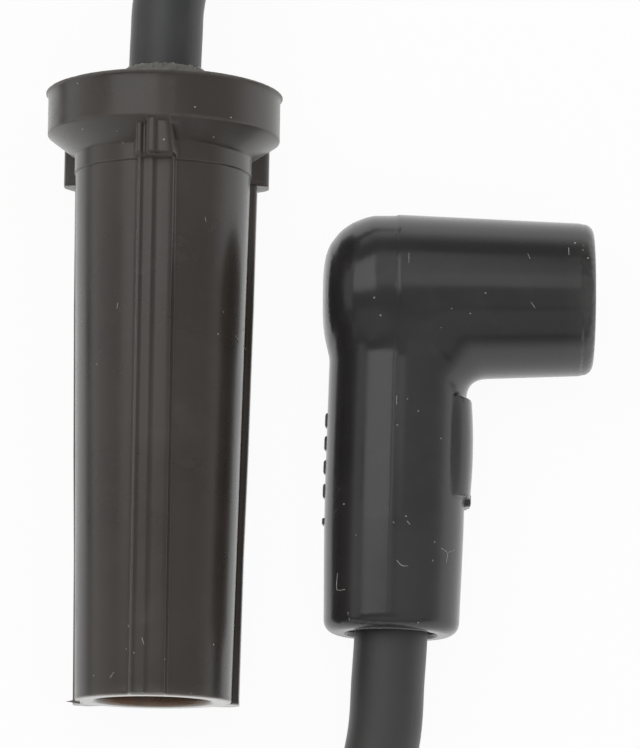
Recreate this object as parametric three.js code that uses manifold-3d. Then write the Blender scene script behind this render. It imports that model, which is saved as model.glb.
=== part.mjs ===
// Spark plug wire: an 8 mm ignition cable with a straight rubber boot on its spark plug end and a
// right-angle rubber boot on its coil end. Each boot hides a stamped terminal that is crimped on the
// cable over the folded-back conductor core.
// Millimetres. +Z is up, the wire lies on z = 0, and the origin is the bottom centre of the boots' box.
import * as THREE from 'three'
import { mergeVertices } from 'three/addons/utils/BufferGeometryUtils.js'
import Module from 'manifold-3d'

const wasm = await Module()
wasm.setup()

// Fits
const CLEARANCE = 0.3 // between pieces that touch on the real wire
const SINK = 0.4 // how far a raised mark is rooted in the wall that it is moulded on

// Cable
const CABLE_R = 4
const CABLE_SIDES = 12
const CABLE_STEP = 10 // length of one straight step of the tube
const CORE_WIDTH = 2
const CORE_THICK = 0.7
const CORE_STEPS = 28
const CORE_SHORT = 2 // how far before the crimp's end the folded core stops
// The core's fold: [share of the way out to the crimp's seam, how far out of the cable's end face].
const CORE_FOLD = [[0, 0], [0.04, 0.35], [0.19, 0.6], [0.47, 0.75], [0.77, 0.7], [0.97, 0.1], [1, -1]]

// Terminal sockets, crimps and snap rings, alike at both ends
const SHEET = 0.5 // thickness of the stamped sheet
const STUD_R = 3.25 // inside radius of a terminal's socket
const STUD_DEPTH = 12
const CRIMP_LENGTH = 10
const CRIMP_TAPER = 3
const CRIMP_SEAM = 3.4 // width of the gap between the crimp's two wings
const CRIMP_OVERHANG = 1 // how far the crimp reaches past the cable's end face
const RING_WIRE_R = 0.4
const RING_PLACE = 5 // from the socket's mouth
const RING_GAP = 60 // degrees left open in the snap ring
const RING_STEPS = 24
const RING_SIDES = 8
const POCKET_SPARE = 0.5 // room round the folded core in a boot's pocket
const POCKET_R = CABLE_R + CLEARANCE + CORE_THICK + POCKET_SPARE
const CABLE_HOLE_R = CABLE_R + CLEARANCE

// Straight boot, measured along its axis from the tip
const PLUG_LENGTH = 67
const TIP_R = 8.45
const BARREL_TOP_R = 9.6
const SOCKET_R = 6.15
const SOCKET_DEPTH = 25
const MOUTH_CHAMFER = 0.4
const FLANGE_R = 12.75
const FLANGE_HEIGHT = 4.9
const FLANGE_CHAMFER = 2.3
const LIP_PROUD = 0.25 // how far the lip stands out from the flange
const LIP_R = FLANGE_R + LIP_PROUD
const LIP_HEIGHT = 0.4
const PARTING = 8.7 // from the rim down to the parting line
const COLLAR_STEP = 0.1
const NECK_HEIGHT = 2.5
const NECK_WALL = 0.45
const NECK_FLARE = 0.6
const RIB_COUNT = 3
const RIB_ANGLE = -6 // degrees from straight up to the first rib, towards +X
const RIB_WIDTH = 3.9
const RIB_TOP_R = 10.55
const RIB_TIP_R = 9.35
const LUG_WIDTH = 4.3
const LUG_R = 11.8

// Right-angle boot, measured from where the stem's axis meets the arm's axis
const ARM_LENGTH = 21.15
const ARM_R = 9.1
const ARM_MOUTH_R = 8.3
const ARM_SOCKET_R = 6
const ARM_SOCKET_DEPTH = 12
const DOME_REACH = 8.5
const DOME_LENGTH = 6
const DOME_POWER = 2.25 // squareness of the dome's section
const DOME_ARC = 10 // facets from the dome's edge to its middle
const LIP_ROUND = 1.4
const LIP_ARC = 4
const STEM_LENGTH = 37.1
const STEM_R = 7.6
const STEM_MOUTH_R = 7.35
const STEM_TAPER = 8
const STEM_LEAN = 1.65 // degrees from square to the arm
const STEM_BELL_R = 4.85
const STEM_BELL_LENGTH = 3
const PAD_LENGTH = 11.1
const PAD_ARC = 68 // degrees of the stem's wall that the pad covers
const PAD_TOP = 11 // from the arm's axis down to the pad
const PAD_PROUD = 0.85
const MARK_COUNT = 5
const MARK_PITCH = 2.55
const MARK_LENGTH = 1.57
const MARK_WIDTH = 3
const MARK_PROUD = 0.33
const MARK_TOP = 13

// Places on the surface that the wire lies on
const PLUG_TIP_AT = [-17.93, -34.45]
const PLUG_LEAN = 0.79 // degrees that the straight boot's axis turns towards +X
const ELBOW_AT = [8.8, 10.1]
const ANGLE_CABLE_END = 13 // from the arm's axis to the cable's end in the stem

const ROUND = 48 // segments round a boot
const FINE = 32 // segments round a terminal
const PATCH_SEGMENTS = 8 // along a raised patch's arc
const rad = THREE.MathUtils.degToRad

const RUBBER_BROWN = { color: 0x46423e, roughness: 0.55, metalness: 0 }
const RUBBER_BLACK = { color: 0x323030, roughness: 0.5, metalness: 0 }
const JACKET = { color: 0x424242, roughness: 0.75, metalness: 0 }
const PLATED_STEEL = { color: 0xb8b8b4, roughness: 0.35, metalness: 1 }
const BRASS = { color: 0xb5975a, roughness: 0.35, metalness: 1 }
const SPRING_STEEL = { color: 0x8c8f92, roughness: 0.3, metalness: 1 }
const CARBON_STRAND = { color: 0x1c1c1c, roughness: 0.9, metalness: 0 }

function solid(geometry) {
  const bare = geometry.clone()
  bare.deleteAttribute('normal')
  bare.deleteAttribute('uv')
  const merged = mergeVertices(bare, 1e-4)
  const mesh = new wasm.Mesh({
    numProp: 3,
    vertProperties: Float32Array.from(merged.attributes.position.array),
    triVerts: Uint32Array.from(merged.index.array),
  })
  return new wasm.Manifold(mesh)
}

function geometryOf(manifold) {
  const mesh = manifold.getMesh()
  const geometry = new THREE.BufferGeometry()
  geometry.setAttribute('position', new THREE.BufferAttribute(mesh.vertProperties, 3))
  geometry.setIndex(new THREE.BufferAttribute(mesh.triVerts, 1))
  geometry.computeVertexNormals()
  return geometry
}

function join(first, ...others) {
  return others.reduce((whole, other) => whole.add(solid(other)), first)
}

function cut(first, ...tools) {
  return tools.reduce((rest, tool) => rest.subtract(solid(tool)), first)
}

// A turned shape about +Z from [radius, height] points, which close on themselves or end on the axis.
function turned(points, segments, closed = true) {
  const outline = points.map(([r, z]) => new THREE.Vector2(r, z))
  if (closed) outline.push(outline[0].clone())
  return new THREE.LatheGeometry(outline, segments).rotateX(Math.PI / 2)
}

// A turned shape whose outline starts and ends on the axis.
function turnedUp(points, segments) {
  return turned(points, segments, false)
}

function block(width, depth, height) {
  return new THREE.BoxGeometry(width, depth, height)
}

// A tube or strip of one section along a smooth curve through the points.
function swept(points, section, steps) {
  const path = new THREE.CatmullRomCurve3(points, false, 'centripetal')
  return new THREE.ExtrudeGeometry(section, { steps, bevelEnabled: false, extrudePath: path })
}

function roundSection(radius, sides) {
  const corners = Array.from({ length: sides }, (_, i) => {
    const turn = (i / sides) * 2 * Math.PI
    return new THREE.Vector2(radius * Math.cos(turn), radius * Math.sin(turn))
  })
  return new THREE.Shape(corners)
}

function named(name, geometry, look) {
  const mesh = new THREE.Mesh(geometry, new THREE.MeshStandardMaterial(look))
  mesh.name = name
  return mesh
}

// Straight boot: local +Z runs from the tip to the neck, and local -Y faces up once it is laid down.
const POCKET_END = SOCKET_DEPTH + STUD_DEPTH + CRIMP_TAPER + CRIMP_LENGTH + 2 * CLEARANCE
const NECK_TOP = PLUG_LENGTH + NECK_HEIGHT
const PARTING_AT = PLUG_LENGTH - PARTING
const FLANGE_FOOT = PLUG_LENGTH - FLANGE_HEIGHT
const LIP_FOOT = PLUG_LENGTH - LIP_HEIGHT

function plugBootShell() {
  const collarR = BARREL_TOP_R + COLLAR_STEP
  const neckR = CABLE_HOLE_R + NECK_WALL
  return turned([
    [SOCKET_R + MOUTH_CHAMFER, 0],
    [TIP_R - MOUTH_CHAMFER, 0],
    [TIP_R, MOUTH_CHAMFER],
    [BARREL_TOP_R, PARTING_AT],
    [collarR, PARTING_AT],
    [collarR, FLANGE_FOOT - FLANGE_CHAMFER],
    [FLANGE_R, FLANGE_FOOT],
    [FLANGE_R, LIP_FOOT],
    [LIP_R, LIP_FOOT],
    [LIP_R, PLUG_LENGTH],
    [neckR + NECK_FLARE, PLUG_LENGTH],
    [neckR, NECK_TOP],
    [CABLE_HOLE_R, NECK_TOP],
    [CABLE_HOLE_R, POCKET_END],
    [POCKET_R, POCKET_END],
    [POCKET_R, SOCKET_DEPTH],
    [SOCKET_R, SOCKET_DEPTH],
    [SOCKET_R, MOUTH_CHAMFER],
  ], ROUND)
}

// A rib is a slab whose outer edge follows the barrel's taper, from the tip to under the flange.
function plugRib() {
  const foot = TIP_R - 2 * SINK
  const side = new THREE.Shape([
    new THREE.Vector2(foot, 0),
    new THREE.Vector2(RIB_TIP_R, 0),
    new THREE.Vector2(RIB_TOP_R, PARTING_AT),
    new THREE.Vector2(foot, PARTING_AT),
  ])
  const slab = new THREE.ExtrudeGeometry(side, { depth: RIB_WIDTH, bevelEnabled: false })
  return slab.translate(0, 0, -RIB_WIDTH / 2).rotateX(Math.PI / 2)
}

function plugLug() {
  const inner = BARREL_TOP_R - SINK
  const height = FLANGE_FOOT - PARTING_AT
  const middle = PARTING_AT + height / 2
  return block(LUG_R - inner, LUG_WIDTH, height).translate((inner + LUG_R) / 2, 0, middle)
}

function plugBoot() {
  const boot = solid(plugBootShell())
  const raised = Array.from({ length: RIB_COUNT }, (_, i) => {
    const turn = rad(RIB_ANGLE - 90 + (i * 360) / RIB_COUNT)
    return [plugRib().rotateZ(turn), plugLug().rotateZ(turn)]
  }).flat()
  return geometryOf(join(boot, ...raised))
}

// Terminal: local +Z runs from the socket's mouth to the crimp's end, and the seam faces local +X.
const TUBE_R = STUD_R + SHEET
const CRIMP_INNER_R = CABLE_R + CLEARANCE
const CRIMP_R = CRIMP_INNER_R + SHEET
const CRIMP_START = STUD_DEPTH + CRIMP_TAPER
const TERMINAL_LENGTH = CRIMP_START + CRIMP_LENGTH
const CORE_RUN_R = CABLE_R + CLEARANCE + CORE_THICK / 2

function seamCutter(from, to) {
  return block(CRIMP_R, CRIMP_SEAM, to - from).translate(CRIMP_R / 2 + CABLE_R / 2, 0, (from + to) / 2)
}

function plugTerminal() {
  const tube = turned([
    [STUD_R, 0],
    [TUBE_R, 0],
    [TUBE_R, STUD_DEPTH],
    [CRIMP_R, CRIMP_START],
    [CRIMP_R, TERMINAL_LENGTH],
    [CRIMP_INNER_R, TERMINAL_LENGTH],
    [CRIMP_INNER_R, CRIMP_START],
    [STUD_R, STUD_DEPTH],
  ], FINE)
  return geometryOf(cut(solid(tube), seamCutter(STUD_DEPTH, TERMINAL_LENGTH + SHEET)))
}

function snapRing() {
  const middleR = TUBE_R + CLEARANCE + RING_WIRE_R
  const points = Array.from({ length: RING_STEPS + 1 }, (_, i) => {
    const turn = rad(RING_GAP / 2 + (i / RING_STEPS) * (360 - RING_GAP))
    return new THREE.Vector3(middleR * Math.cos(turn), middleR * Math.sin(turn), RING_PLACE)
  })
  return swept(points, roundSection(RING_WIRE_R, RING_SIDES), RING_STEPS)
}

// The stripped core comes out of the cable's end face at cableEnd and folds back into the seam.
function foldedCore(cableEnd) {
  const face = cableEnd - CLEARANCE
  const back = cableEnd + CRIMP_LENGTH - CORE_SHORT
  const fold = CORE_FOLD.map(([share, out]) => [share * CORE_RUN_R, face - out])
  const run = [[CORE_RUN_R, (face + back) / 2], [CORE_RUN_R, back]]
  const points = [...fold, ...run].map(([x, z]) => new THREE.Vector3(x, 0, z))
  const half = CORE_WIDTH / 2
  const thick = CORE_THICK / 2
  const section = new THREE.Shape([
    new THREE.Vector2(-half, -thick),
    new THREE.Vector2(half, -thick),
    new THREE.Vector2(half, thick),
    new THREE.Vector2(-half, thick),
  ])
  return swept(points, section, CORE_STEPS)
}

// Right-angle boot: the arm runs along local +X, the stem along local -Y, and local +Z faces up.
function armShell() {
  const dome = Array.from({ length: DOME_ARC + 1 }, (_, i) => {
    const turn = (i / DOME_ARC) * (Math.PI / 2)
    const back = Math.cos(turn) ** (2 / DOME_POWER)
    return [ARM_R * Math.sin(turn) ** (2 / DOME_POWER), DOME_LENGTH * (1 - back) - DOME_REACH]
  })
  const lip = lipRound(ARM_MOUTH_R, ARM_LENGTH)
  return turnedUp([...dome, [ARM_R, 0], ...lip, [0, ARM_LENGTH]], ROUND).rotateY(Math.PI / 2)
}

// The rounded edge between a wall of this radius and an end face at this height.
function lipRound(radius, height) {
  return Array.from({ length: LIP_ARC + 1 }, (_, i) => {
    const turn = (i / LIP_ARC) * (Math.PI / 2)
    const inward = LIP_ROUND * (1 - Math.cos(turn))
    return [radius - inward, height - LIP_ROUND * (1 - Math.sin(turn))]
  })
}

function alongStem(geometry) {
  return geometry.rotateX(Math.PI / 2).rotateZ(-rad(STEM_LEAN))
}

function stemShell() {
  const lip = lipRound(STEM_MOUTH_R, STEM_LENGTH)
  return turnedUp([
    [0, 0],
    [STEM_R, 0],
    [STEM_R, STEM_LENGTH - STEM_TAPER],
    ...lip,
    [0, STEM_LENGTH],
  ], ROUND)
}

const ANGLE_CRIMP_START = ANGLE_CABLE_END - CRIMP_OVERHANG
const ANGLE_CRIMP_END = ANGLE_CRIMP_START + CRIMP_LENGTH
const STEM_POCKET_END = ANGLE_CRIMP_END + CLEARANCE
const ARM_POCKET_START = -(CRIMP_R + CLEARANCE)

function stemBore() {
  return turnedUp([
    [0, 0],
    [POCKET_R, 0],
    [POCKET_R, STEM_POCKET_END],
    [CABLE_HOLE_R, STEM_POCKET_END],
    [CABLE_HOLE_R, STEM_LENGTH - STEM_BELL_LENGTH],
    [STEM_BELL_R, STEM_LENGTH + SINK],
    [0, STEM_LENGTH + SINK],
  ], FINE)
}

function armBore() {
  const shoulder = ARM_LENGTH - ARM_SOCKET_DEPTH
  return turnedUp([
    [0, ARM_POCKET_START],
    [POCKET_R, ARM_POCKET_START],
    [POCKET_R, shoulder],
    [ARM_SOCKET_R, shoulder],
    [ARM_SOCKET_R, ARM_LENGTH - MOUTH_CHAMFER],
    [ARM_SOCKET_R + 2 * MOUTH_CHAMFER, ARM_LENGTH + MOUTH_CHAMFER],
    [0, ARM_LENGTH + MOUTH_CHAMFER],
  ], FINE).rotateY(Math.PI / 2)
}

// A patch standing proud of the stem's wall, centred on a direction about the stem's axis.
function patch(proud, arcDegrees, top, length, facing) {
  const inner = STEM_R - SINK
  const outer = STEM_R + proud
  const half = rad(arcDegrees) / 2
  const shape = new THREE.Shape()
  shape.absarc(0, 0, outer, facing - half, facing + half, false)
  shape.absarc(0, 0, inner, facing + half, facing - half, true)
  const slab = new THREE.ExtrudeGeometry(shape, {
    depth: length,
    bevelEnabled: false,
    curveSegments: PATCH_SEGMENTS,
  })
  return slab.translate(0, 0, top)
}

function angleBoot() {
  const pad = patch(PAD_PROUD, PAD_ARC, PAD_TOP, PAD_LENGTH, 0)
  const markArc = (MARK_WIDTH / STEM_R) * THREE.MathUtils.RAD2DEG
  const marks = Array.from({ length: MARK_COUNT }, (_, i) => {
    return patch(MARK_PROUD, markArc, MARK_TOP + i * MARK_PITCH, MARK_LENGTH, Math.PI)
  })
  const arm = solid(armShell())
  const outside = join(arm, ...[stemShell(), pad, ...marks].map(alongStem))
  return geometryOf(cut(outside, armBore(), alongStem(stemBore())))
}

// Right-angle terminal in the boot's local frame: a socket along +X, a strap and a crimp along the stem.
const STRAP_WIDTH = 5
const SOCKET_BACK = -CRIMP_INNER_R

function angleTerminal() {
  const socket = turnedUp([
    [0, SOCKET_BACK],
    [TUBE_R, SOCKET_BACK],
    [TUBE_R, SOCKET_BACK + STUD_DEPTH],
    [STUD_R, SOCKET_BACK + STUD_DEPTH],
    [STUD_R, SOCKET_BACK + SHEET],
    [0, SOCKET_BACK + SHEET],
  ], FINE).rotateY(Math.PI / 2)
  const crimp = turned([
    [CRIMP_INNER_R, ANGLE_CRIMP_START],
    [CRIMP_R, ANGLE_CRIMP_START],
    [CRIMP_R, ANGLE_CRIMP_END],
    [CRIMP_INNER_R, ANGLE_CRIMP_END],
  ], FINE)
  const wings = cut(solid(crimp), seamCutter(ANGLE_CRIMP_START - SHEET, ANGLE_CRIMP_END + SHEET))
  const strapLength = ANGLE_CABLE_END + SHEET
  const strap = block(SHEET, STRAP_WIDTH, strapLength)
  strap.translate(-CRIMP_R + SHEET / 2, 0, strapLength / 2)
  const stamped = join(wings, strap)
  return geometryOf(join(solid(alongStem(geometryOf(stamped))), socket))
}

// The cable's centre line: from the crimp in the straight boot, out of its neck, round a loop on the
// surface and up into the stem of the right-angle boot.
const CABLE_ROUTE = [
  [-17.36, 6.75, 11.27], [-17.24, 15.73, 11.9], [-17.1, 26, 12.62], [-16.97, 34.88, 13.23],
  [-16.82, 38.7, 13.44], [-16.54, 43, 13.4], [-13.2, 55.8, 12.5], [-4.9, 66, 10.8],
  [3.3, 76, 8.7], [6.9, 88.3, 6.6], [5.4, 101.1, 5], [-1, 112.2, 4.2], [-11.3, 120, 4.05],
  [-23.8, 123.1, 4.05], [-36.4, 121, 4.05], [-47.3, 114.2, 4.05], [-54.6, 103.6, 4.05],
  [-57.2, 91, 4.05], [-57.4, 74, 4.05], [-57.4, 56, 4.05], [-57.3, 38, 4.05], [-57.3, 20, 4.05],
  [-57.3, 2, 4.05], [-57.4, -18, 4.05], [-57.3, -35.8, 4.05], [-55, -47.7, 4.05],
  [-48.4, -57.9, 4.05], [-38.5, -65, 4.05], [-26.6, -67.8, 4.15], [-14.6, -66, 4.5],
  [-4.1, -59.9, 5.1], [3.4, -50.3, 5.9], [6.82, -38.6, 6.67], [7.4, -31.7, 7.04],
  [7.73, -26.84, 7.29], [7.94, -19.85, 7.63], [8.17, -11.86, 8.02], [8.43, -2.88, 8.46],
]

function cableTube() {
  const points = CABLE_ROUTE.map((point) => new THREE.Vector3(...point))
  const path = new THREE.CatmullRomCurve3(points, false, 'centripetal')
  const steps = Math.round(path.getLength() / CABLE_STEP)
  return swept(points, roundSection(CABLE_R, CABLE_SIDES), steps)
}

// The straight boot lies on its tip and on whichever of its flange's edges reaches lowest.
function layPlugBoot(group) {
  const edges = [[FLANGE_R, FLANGE_FOOT], [LIP_R, LIP_FOOT]]
  const tilt = Math.max(...edges.map(([r, at]) => Math.atan2(r - TIP_R, at - MOUTH_CHAMFER)))
  const height = TIP_R * Math.cos(tilt) - MOUTH_CHAMFER * Math.sin(tilt)
  group.rotation.set(-Math.PI / 2 + tilt, 0, -rad(PLUG_LEAN), 'ZXY')
  group.position.set(...PLUG_TIP_AT, height)
}

// The right-angle boot lies on its elbow and the mouth of its stem.
function layAngleBoot(group) {
  const tilt = Math.asin((ARM_R - STEM_MOUTH_R) / (STEM_LENGTH - LIP_ROUND))
  group.rotation.set(tilt, 0, 0)
  group.position.set(...ELBOW_AT, ARM_R)
}

const plugEnd = new THREE.Group()
plugEnd.add(named('spark_plug_boot', plugBoot(), RUBBER_BROWN))
const inPlug = new THREE.Group()
inPlug.position.z = SOCKET_DEPTH + CLEARANCE
inPlug.add(named('plug_terminal', plugTerminal(), PLATED_STEEL))
inPlug.add(named('plug_terminal_snap_ring', snapRing(), SPRING_STEEL))
inPlug.add(named('plug_end_folded_core', foldedCore(CRIMP_START + CRIMP_OVERHANG), CARBON_STRAND))
plugEnd.add(inPlug)
layPlugBoot(plugEnd)

const coilEnd = new THREE.Group()
coilEnd.add(named('right_angle_boot', angleBoot(), RUBBER_BLACK))
coilEnd.add(named('right_angle_terminal', angleTerminal(), BRASS))
const onSocket = snapRing().rotateY(Math.PI).translate(0, 0, SOCKET_BACK + STUD_DEPTH)
coilEnd.add(named('right_angle_terminal_snap_ring', onSocket.rotateY(Math.PI / 2), SPRING_STEEL))
const inStem = alongStem(foldedCore(ANGLE_CABLE_END))
coilEnd.add(named('coil_end_folded_core', inStem, CARBON_STRAND))
layAngleBoot(coilEnd)

const sparkPlugWire = new THREE.Group()
sparkPlugWire.add(plugEnd, coilEnd, named('cable', cableTube(), JACKET))
sparkPlugWire.updateMatrixWorld(true)

export default sparkPlugWire
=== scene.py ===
"""Looks of a spark plug wire: a cable with a straight flanged rubber boot and a right-angle boot."""

import math

import bpy
import numpy as np
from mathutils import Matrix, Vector


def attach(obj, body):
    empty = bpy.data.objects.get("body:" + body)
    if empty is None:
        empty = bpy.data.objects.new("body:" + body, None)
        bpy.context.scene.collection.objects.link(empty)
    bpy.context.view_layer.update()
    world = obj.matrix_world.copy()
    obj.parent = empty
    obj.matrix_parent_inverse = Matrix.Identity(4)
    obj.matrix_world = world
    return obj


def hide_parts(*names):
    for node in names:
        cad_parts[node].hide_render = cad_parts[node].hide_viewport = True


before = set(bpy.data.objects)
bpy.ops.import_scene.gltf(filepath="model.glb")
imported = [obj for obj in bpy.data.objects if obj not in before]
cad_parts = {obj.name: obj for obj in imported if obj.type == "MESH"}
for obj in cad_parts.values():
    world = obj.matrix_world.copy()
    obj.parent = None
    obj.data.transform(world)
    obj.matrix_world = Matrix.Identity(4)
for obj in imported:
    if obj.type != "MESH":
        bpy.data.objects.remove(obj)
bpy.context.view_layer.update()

MM = 0.001
SEED = 7


# Camera, at the photograph's viewing angle

IMAGE_WIDTH = 640
IMAGE_HEIGHT = 748
PIXELS_PER_UNIT_SLOPE = 4845.0
CAMERA_TARGET = Vector((0.00005, 0.00185, 0.008))
CAMERA_TILT = math.radians(13)
CAMERA_DISTANCE = 0.53
SENSOR_HEIGHT = 24.0


def make_camera():
    data = bpy.data.cameras.new("camera")
    data.sensor_fit = "VERTICAL"
    data.sensor_height = SENSOR_HEIGHT
    data.lens = PIXELS_PER_UNIT_SLOPE * SENSOR_HEIGHT / IMAGE_HEIGHT
    data.clip_start = 0.05
    data.clip_end = 20
    camera = bpy.data.objects.new("camera", data)
    bpy.context.scene.collection.objects.link(camera)
    looking = Vector((0, math.sin(CAMERA_TILT), -math.cos(CAMERA_TILT)))
    camera.location = CAMERA_TARGET - CAMERA_DISTANCE * looking
    camera.rotation_euler = (CAMERA_TILT, 0, 0)
    bpy.context.scene.camera = camera


make_camera()


# Mesh helpers


def mesh_object(name, vertices, faces, material=None, normals=None):
    mesh = bpy.data.meshes.new(name)
    mesh.from_pydata([tuple(v) for v in vertices], [], [tuple(f) for f in faces])
    mesh.validate()
    mesh.shade_smooth()
    if normals is not None:
        mesh.normals_split_custom_set_from_vertices([tuple(n) for n in normals])
    obj = bpy.data.objects.new(name, mesh)
    bpy.context.scene.collection.objects.link(obj)
    if material is not None:
        mesh.materials.append(material)
    return obj


def add_attribute(obj, name, values):
    attribute = obj.data.attributes.new(name, "FLOAT", "POINT")
    attribute.data.foreach_set("value", np.asarray(values, np.float32).ravel())


def grid_faces(rows, columns, close_rows=False, close_columns=True):
    """Quads of a grid whose vertices run column by column along each row."""
    row_count = rows if close_rows else rows - 1
    column_count = columns if close_columns else columns - 1
    faces = []
    for i in range(row_count):
        here = i * columns
        after = ((i + 1) % rows) * columns
        for j in range(column_count):
            k = (j + 1) % columns
            faces.append((here + j, here + k, after + k, after + j))
    return faces


def catmull_rom(points, step):
    """Points about step apart on a centripetal curve through the given ones."""
    points = np.asarray(points, float)
    ends = [2 * points[0] - points[1], 2 * points[-1] - points[-2]]
    padded = np.vstack([ends[0], points, ends[1]])
    line = [points[0]]
    for i in range(1, len(padded) - 2):
        p = padded[i - 1:i + 3]
        knots = np.concatenate([[0], np.cumsum(np.linalg.norm(np.diff(p, axis=0), axis=1) ** 0.5)])
        count = max(2, int(round(np.linalg.norm(p[2] - p[1]) / step)))
        for t in np.linspace(knots[1], knots[2], count + 1)[1:]:
            a = [(knots[j + 1] - t) * p[j] + (t - knots[j]) * p[j + 1] for j in range(3)]
            a = [a[j] / (knots[j + 1] - knots[j]) for j in range(3)]
            b = [(knots[j + 2] - t) * a[j] + (t - knots[j]) * a[j + 1] for j in range(2)]
            b = [b[j] / (knots[j + 2] - knots[j]) for j in range(2)]
            line.append(((knots[2] - t) * b[0] + (t - knots[1]) * b[1]) / (knots[2] - knots[1]))
    return np.array(line)


def path_frames(line):
    """A side and an up direction at each point, carried along the line without twist."""
    tangents = np.gradient(line, axis=0)
    tangents /= np.linalg.norm(tangents, axis=1)[:, None]
    up = np.array([0.0, 0.0, 1.0])
    sides, ups = [], []
    for tangent in tangents:
        up = up - tangent * (up @ tangent)
        up /= np.linalg.norm(up)
        ups.append(up)
        sides.append(np.cross(tangent, up))
    return np.array(sides), np.array(ups)


def end_fans(rings, sides):
    """Triangles that close a tube, to the two end points that follow its rings."""
    tip = rings * sides
    last = (rings - 1) * sides
    faces = []
    for j in range(sides):
        k = (j + 1) % sides
        faces.append((tip, k, j))
        faces.append((tip + 1, last + j, last + k))
    return faces


def ring_turns(sides):
    return np.arange(sides) * 2 * math.pi / sides


def tube_surface(line, radii, sides):
    """Vertices and faces of a closed round tube, ring by ring and then its two end points."""
    side, up = path_frames(line)
    turns = ring_turns(sides)
    ring = np.cos(turns)[None, :, None] * side[:, None, :]
    ring = ring + np.sin(turns)[None, :, None] * up[:, None, :]
    wall = (line[:, None, :] + ring * radii[:, None, None]).reshape(-1, 3)
    faces = grid_faces(len(line), sides) + end_fans(len(line), sides)
    return np.vstack([wall, line[0], line[-1]]), faces


def tube(name, line, radii, sides, material):
    """A round tube that carries the places along and around it as attributes."""
    radii = np.broadcast_to(radii, (len(line),))
    vertices, faces = tube_surface(line, radii, sides)
    obj = mesh_object(name, vertices, faces, material)
    lengths = np.concatenate([[0], np.cumsum(np.linalg.norm(np.diff(line, axis=0), axis=1))])
    around = np.tile(ring_turns(sides), len(line)) * np.repeat(radii, sides)
    add_attribute(obj, "along", np.concatenate([np.repeat(lengths, sides), [0, 0]]))
    add_attribute(obj, "around", np.concatenate([around, [0, 0]]))
    return obj


def slab(name, top, bottom, material):
    """A closed piece between two grids of points."""
    rows, columns = top.shape[:2]
    lower = rows * columns
    faces = grid_faces(rows, columns, close_columns=False)
    faces += [tuple(lower + k for k in reversed(face)) for face in faces]
    rim = list(range(columns))
    rim += [i * columns + columns - 1 for i in range(1, rows)]
    rim += [(rows - 1) * columns + j for j in range(columns - 2, -1, -1)]
    rim += [i * columns for i in range(rows - 2, 0, -1)]
    for a, b in zip(rim, rim[1:] + rim[:1]):
        faces.append((b, a, lower + a, lower + b))
    vertices = np.concatenate([top.reshape(-1, 3), bottom.reshape(-1, 3)])
    return mesh_object(name, vertices, faces, material)


def place_piece(piece, node=None):
    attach(piece, "root")
    if node is not None:
        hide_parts(node)


# Materials


class Graph:
    """A node material built step by step."""

    def __init__(self, name):
        self.material = bpy.data.materials.new(name)
        self.material.use_nodes = True
        self.nodes = self.material.node_tree.nodes
        self.links = self.material.node_tree.links
        self.nodes.clear()

    def add(self, kind, inputs=None, **settings):
        node = self.nodes.new(kind)
        for key, value in settings.items():
            setattr(node, key, value)
        for key, value in (inputs or {}).items():
            socket = node.inputs[key]
            if isinstance(value, bpy.types.NodeSocket):
                self.links.new(value, socket)
            else:
                socket.default_value = value
        return node

    def math(self, operation, a, b):
        return self.add("ShaderNodeMath", {0: a, 1: b}, operation=operation).outputs[0]

    def noise(self, vector, scale, detail, rough, distortion=0.0):
        """Scale is in cells a metre."""
        inputs = {"Vector": vector, "Scale": scale, "Detail": detail, "Roughness": rough}
        inputs["Distortion"] = distortion
        return self.add("ShaderNodeTexNoise", inputs).outputs["Fac"]

    def ramp(self, value, low, high, to_low=0.0, to_high=1.0):
        node = self.add(
            "ShaderNodeMapRange",
            {"Value": value, "From Min": low, "From Max": high, "To Min": to_low, "To Max": to_high},
            interpolation_type="SMOOTHSTEP",
        )
        return node.outputs["Result"]

    def stretch(self, vector, scale, turn=(0, 0, 0)):
        node = self.add("ShaderNodeMapping", {"Vector": vector, "Scale": scale, "Rotation": turn})
        return node.outputs["Vector"]

    def mix(self, share, a, b):
        node = self.add("ShaderNodeMix", {0: share, 6: a, 7: b}, data_type="RGBA")
        return node.outputs[2]

    def bump(self, height, distance):
        return self.add("ShaderNodeBump", {"Height": height, "Distance": distance}).outputs["Normal"]

    def attribute(self, name):
        return self.add("ShaderNodeAttribute", attribute_name=name).outputs["Fac"]

    def specks(self, vector, scale, share, radius):
        """1 in small round spots, in that share of the cells of a grid of that scale."""
        cell = self.add("ShaderNodeTexVoronoi", {"Vector": vector, "Scale": scale})
        near = self.ramp(cell.outputs["Distance"], radius, radius * 0.5)
        picked = self.add("ShaderNodeSeparateColor", {"Color": cell.outputs["Color"]}).outputs["Red"]
        return self.math("MULTIPLY", near, self.math("LESS_THAN", picked, share))

    def hairs(self, vector, scale, turn, width, share):
        """1 in short thin strokes that run along one direction."""
        along = self.stretch(vector, (scale, scale * 0.07, scale), turn)
        cell = self.add("ShaderNodeTexVoronoi", {"Vector": along, "Scale": 1.0})
        near = self.ramp(cell.outputs["Distance"], width, width * 0.4)
        picked = self.add("ShaderNodeSeparateColor", {"Color": cell.outputs["Color"]}).outputs["Green"]
        return self.math("MULTIPLY", near, self.math("LESS_THAN", picked, share))

    def principled(self, inputs):
        return self.finish(self.add("ShaderNodeBsdfPrincipled", inputs).outputs[0])

    def finish(self, shader):
        self.add("ShaderNodeOutputMaterial", {"Surface": shader})
        return self.material


def colour(r, g, b):
    return (r, g, b, 1.0)


def shade(tone, factor):
    return colour(*[min(1.0, c * factor) for c in tone])


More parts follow.
